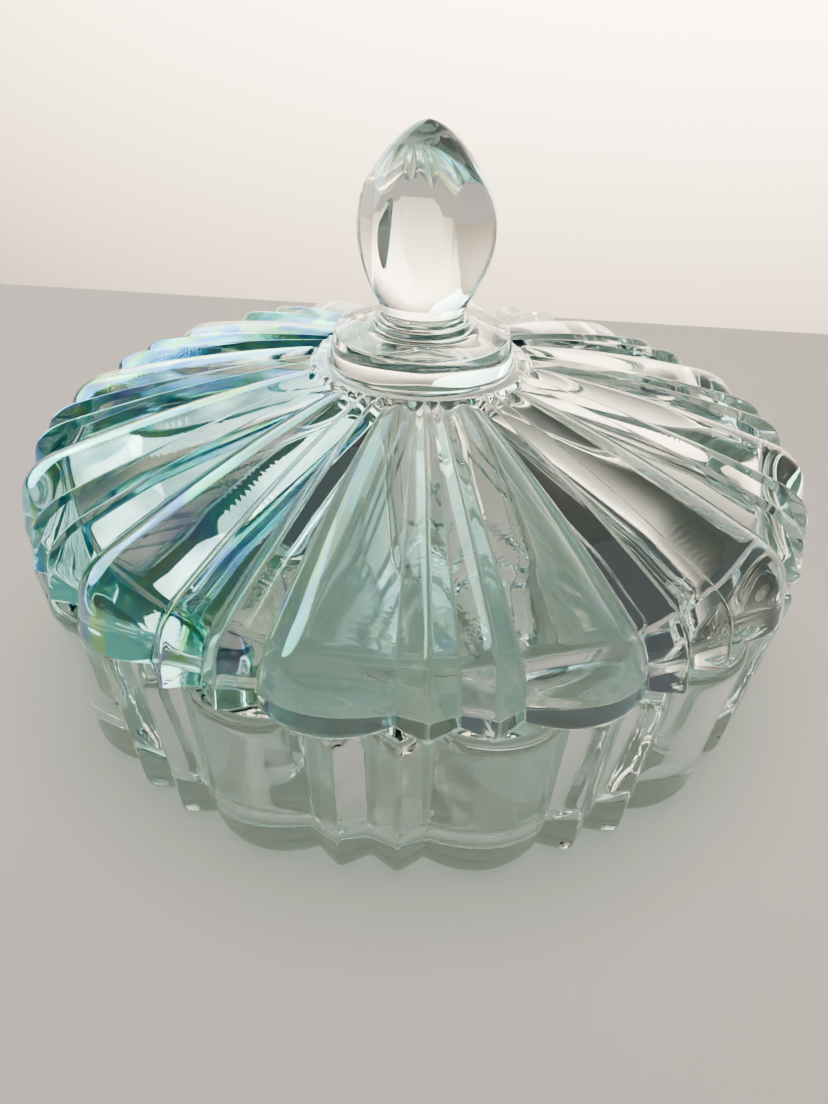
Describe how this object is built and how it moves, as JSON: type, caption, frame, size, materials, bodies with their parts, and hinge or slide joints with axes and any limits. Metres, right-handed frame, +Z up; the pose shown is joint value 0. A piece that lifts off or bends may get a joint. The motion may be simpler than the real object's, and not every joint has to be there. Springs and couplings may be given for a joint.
{
  "type": "candy dish",
  "caption": "Round pressed glass candy dish with fluted sides and a lift-off fluted lid that has a collar and a faceted egg-shaped knob.",
  "frame": {"origin": "centre of the bowl's rest face on the surface it stands on", "axes": "+Z up along the axis of bowl and lid, towards the knob; -Y through the middle of one rib pair of the bowl"},
  "size_m": [0.1784, 0.1784, 0.1186],
  "materials": {
    "bowl_glass": "clear pressed glass with a faint grey-green tint and an iridescent lustre",
    "lid_glass": "clear pressed glass with a faint grey-green tint and an iridescent lustre"
  },
  "bodies": {
    "bowl_body": {"bowl": "bowl_glass"},
    "lid_body": {"lid": "lid_glass"}
  },
  "joints": [
    {"name": "lid_lift", "type": "slide", "parent": "bowl_body", "child": "lid_body", "axis": [0, 0, 1], "range_m": [0, 0.08]}
  ]
}
